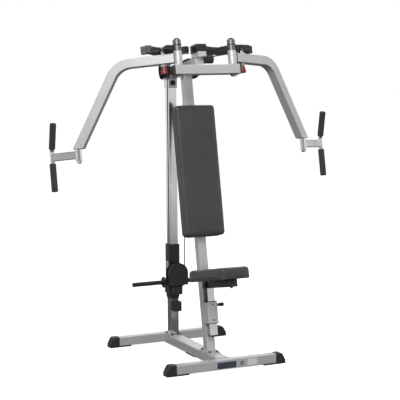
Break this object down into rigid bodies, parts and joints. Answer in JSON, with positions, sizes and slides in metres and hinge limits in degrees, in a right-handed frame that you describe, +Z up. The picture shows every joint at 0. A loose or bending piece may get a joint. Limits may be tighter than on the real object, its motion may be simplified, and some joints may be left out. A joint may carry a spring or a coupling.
{
  "type": "pec deck machine",
  "caption": "Plate-loaded pec deck with leaning mast, padded back and seat, swinging cranked arms, turning handles, cams, cable and a weight carriage on an upright.",
  "frame": {"origin": "centre of the underside of the rubber pad under the main tube, on the floor in the symmetry plane, midway between the cross tubes", "axes": "+X across the machine, +Y from the seat towards the weight upright, +Z up"},
  "size_m": [1.6194, 0.9273, 1.7531],
  "materials": {
    "silver_paint": "satin",
    "chrome": "polished",
    "grey_paint": "satin",
    "black_paint": "satin",
    "black_plastic": "matte",
    "rubber": "matte",
    "grip_rubber": "matte",
    "vinyl": "satin",
    "board_paint": "matte",
    "nylon": "satin",
    "red_plastic": "gloss",
    "cable": "satin",
    "zinc": "satin"
  },
  "bodies": {
    "frame": {"main_tube": "silver_paint", "front_cross_tube": "silver_paint", "rear_cross_tube": "silver_paint", "front_feet": "black_plastic", "rear_feet": "black_plastic", "floor_pad": "rubber", "mast": "silver_paint", "upright": "chrome", "frame_bolts": "zinc", "top_beam": "silver_paint", "crossmember": "silver_paint", "tube_plugs": "black_plastic", "head_stub": "silver_paint", "head_box": "black_paint", "upright_bracket": "silver_paint", "left_spindle": "chrome", "right_spindle": "chrome", "spindle_caps": "black_plastic", "stop_buffer": "rubber", "pulley_bracket": "black_paint", "rest_ring": "rubber", "rest_collar": "black_paint", "bumper_block": "rubber", "left_top_cable": "cable", "right_top_cable": "cable", "left_fall_cable": "cable", "right_fall_cable": "cable", "back_pad": "vinyl", "back_board": "board_paint", "seat_sleeve": "silver_paint", "sleeve_liners": "black_plastic"},
    "left_cam": {"left_cam": "black_paint", "left_cam_tube": "grey_paint"},
    "left_arm": {"left_arm": "silver_paint", "left_bushings": "nylon", "left_pin_housing": "chrome", "left_swivel_pin": "chrome"},
    "left_range_pin": {"left_range_pin": "red_plastic"},
    "left_handle": {"left_handle": "chrome", "left_grips": "grip_rubber"},
    "left_top_pulley": {"left_top_pulley": "black_plastic"},
    "right_cam": {"right_cam": "black_paint", "right_cam_tube": "grey_paint"},
    "right_arm": {"right_arm": "silver_paint", "right_bushings": "nylon", "right_pin_housing": "chrome", "right_swivel_pin": "chrome"},
    "right_range_pin": {"right_range_pin": "red_plastic"},
    "right_handle": {"right_handle": "chrome", "right_grips": "grip_rubber"},
    "right_top_pulley": {"right_top_pulley": "black_plastic"},
    "carriage": {"carriage": "black_paint", "pulley_housing": "black_paint", "weight_horns": "black_paint", "cable_loop": "cable"},
    "carriage_pulley": {"carriage_pulley": "black_plastic"},
    "seat": {"seat_post": "chrome", "seat_support": "black_paint", "seat_pad": "vinyl"},
    "seat_pin": {"seat_pin": "black_plastic"}
  },
  "joints": [
    {"name": "left_cam_swing", "type": "hinge", "parent": "frame", "child": "left_cam", "pos_m": [-0.16, -0.162, 1.6468], "axis": [0, 0.1822, 0.9833], "range_deg": [0, 85]},
    {"name": "left_arm_adjust", "type": "hinge", "parent": "left_cam", "child": "left_arm", "pos_m": [-0.16, -0.162, 1.6468], "axis": [0, 0.1822, 0.9833], "range_deg": [0, 41.2]},
    {"name": "left_range_pin_pull", "type": "slide", "parent": "left_arm", "child": "left_range_pin", "axis": [0, -0.1822, -0.9833], "range_m": [0, 0.014], "stiffness_N_per_m": 900},
    {"name": "left_handle_swing", "type": "hinge", "parent": "left_arm", "child": "left_handle", "pos_m": [-0.63558, 0.08495, 1.13828], "axis": [0, 0.1822, 0.9833], "range_deg": [-50, 45]},
    {"name": "right_cam_swing", "type": "hinge", "parent": "frame", "child": "right_cam", "pos_m": [0.16, -0.162, 1.6468], "axis": [0, -0.1822, -0.9833], "range_deg": [0, 85]},
    {"name": "right_arm_adjust", "type": "hinge", "parent": "right_cam", "child": "right_arm", "pos_m": [0.16, -0.162, 1.6468], "axis": [0, -0.1822, -0.9833], "range_deg": [-10.3, 30.9]},
    {"name": "right_range_pin_pull", "type": "slide", "parent": "right_arm", "child": "right_range_pin", "axis": [0, -0.1822, -0.9833], "range_m": [0, 0.014], "stiffness_N_per_m": 900},
    {"name": "right_handle_swing", "type": "hinge", "parent": "right_arm", "child": "right_handle", "pos_m": [0.6879, -0.00398, 1.15476], "axis": [0, -0.1822, -0.9833], "range_deg": [-50, 45]},
    {"name": "left_top_pulley_spin", "type": "hinge", "parent": "frame", "child": "left_top_pulley", "pos_m": [-0.07892, 0.20028, 1.58559], "axis": [0.7649, -0.6441, 0], "range_deg": [0, 294.8]},
    {"name": "right_top_pulley_spin", "type": "hinge", "parent": "frame", "child": "right_top_pulley", "pos_m": [0.07892, 0.20028, 1.58559], "axis": [0.7649, 0.6441, 0], "range_deg": [0, 294.8]},
    {"name": "carriage_slide", "type": "slide", "parent": "frame", "child": "carriage", "axis": [0, 0, 1], "range_m": [0, 0.2471], "deforming": ["left_fall_cable", "right_fall_cable"]},
    {"name": "carriage_pulley_spin", "type": "hinge", "parent": "carriage", "child": "carriage_pulley", "pos_m": [0, 0.237, 0.425], "axis": [0, 1, 0], "continuous": true},
    {"name": "seat_height", "type": "slide", "parent": "frame", "child": "seat", "axis": [0, 0.1822, 0.9833], "range_m": [-0.05, 0.09]},
    {"name": "seat_pin_pull", "type": "slide", "parent": "frame", "child": "seat_pin", "axis": [1, 0, 0], "range_m": [0, 0.012], "stiffness_N_per_m": 900}
  ],
  "couplings": [
    {"joint": "right_cam_swing", "follows": "left_cam_swing", "ratio": 1},
    {"joint": "carriage_slide", "follows": "left_cam_swing", "m_per_rad": 0.1662},
    {"joint": "left_top_pulley_spin", "follows": "left_cam_swing", "ratio": 3.4625},
    {"joint": "right_top_pulley_spin", "follows": "left_cam_swing", "ratio": 3.4625}
  ]
}
